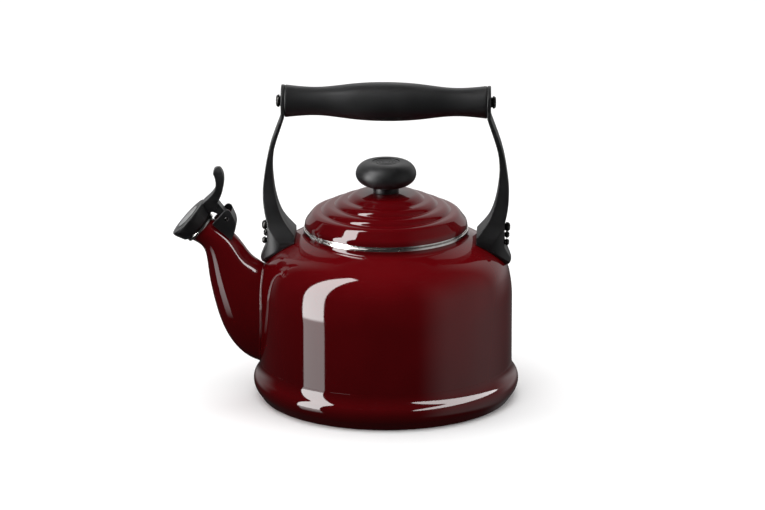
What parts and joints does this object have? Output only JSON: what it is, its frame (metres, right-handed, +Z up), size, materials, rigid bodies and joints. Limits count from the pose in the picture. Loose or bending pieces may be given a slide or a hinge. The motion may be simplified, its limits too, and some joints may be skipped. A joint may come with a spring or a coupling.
{
  "type": "stovetop whistling kettle",
  "caption": "Squat round stovetop kettle in gloss enamel with a stepped lift-off lid, a tall black bail handle and a hinged whistle cap over the spout.",
  "frame": {"origin": "centre of the flat underside that rests on the hob or table", "axes": "+Z up through the knob; the spout points along -X; the bail handle spans the body along X; +Y is the far side"},
  "size_m": [0.2602, 0.2, 0.242],
  "materials": {
    "body_enamel": "deep cherry red gloss vitreous enamel on steel",
    "lid_enamel": "the same deep cherry red gloss enamel",
    "rim_steel": "polished stainless steel",
    "black_phenolic": "moulded phenolic with a fine matte grain",
    "black_nylon": "moulded heat-resistant plastic, fine matte grain",
    "screw_steel": "blackened domed steel screws",
    "insert_brass": "plain turned brass",
    "badge_aluminium": "plain satin disc with no lettering",
    "plate_steel": "thin stamped stainless plate",
    "spring_steel": "bright spring wire"
  },
  "bodies": {
    "kettle": {"body_shell": "body_enamel", "base_pan": "body_enamel", "opening_rim": "rim_steel", "spout": "body_enamel", "spout_rim": "rim_steel", "left_tab": "body_enamel", "right_tab": "body_enamel", "left_arm": "black_phenolic", "right_arm": "black_phenolic", "handle_grip": "black_phenolic", "grip_rod": "screw_steel", "grip_screws": "screw_steel", "grip_washers": "screw_steel", "foot_screws_large": "screw_steel", "foot_screws_small": "screw_steel", "whistle_bracket": "black_nylon", "spout_lug": "body_enamel", "hinge_pin": "screw_steel", "whistle_spring": "spring_steel"},
    "lid": {"lid_shell": "lid_enamel", "lid_collar": "rim_steel", "lid_knob": "black_phenolic", "knob_spacer": "black_phenolic", "knob_screw": "screw_steel", "knob_washer": "screw_steel", "knob_insert": "insert_brass"},
    "whistle": {"whistle_lever": "black_nylon", "whistle_cap": "black_nylon", "cap_badge": "badge_aluminium", "whistle_plate_inner": "plate_steel", "whistle_plate_outer": "plate_steel"}
  },
  "joints": [
    {"name": "lid_lift", "type": "slide", "parent": "kettle", "child": "lid", "axis": [0, 0, 1], "range_m": [0, 0.028]},
    {"name": "whistle_hinge", "type": "hinge", "parent": "kettle", "child": "whistle", "pos_m": [-0.1194, 0, 0.1378], "axis": [0, 1, 0], "range_deg": [0, 40], "stiffness_Nm_per_rad": 0.01, "springref_deg": -51.57, "deforming": ["whistle_spring"]}
  ]
}
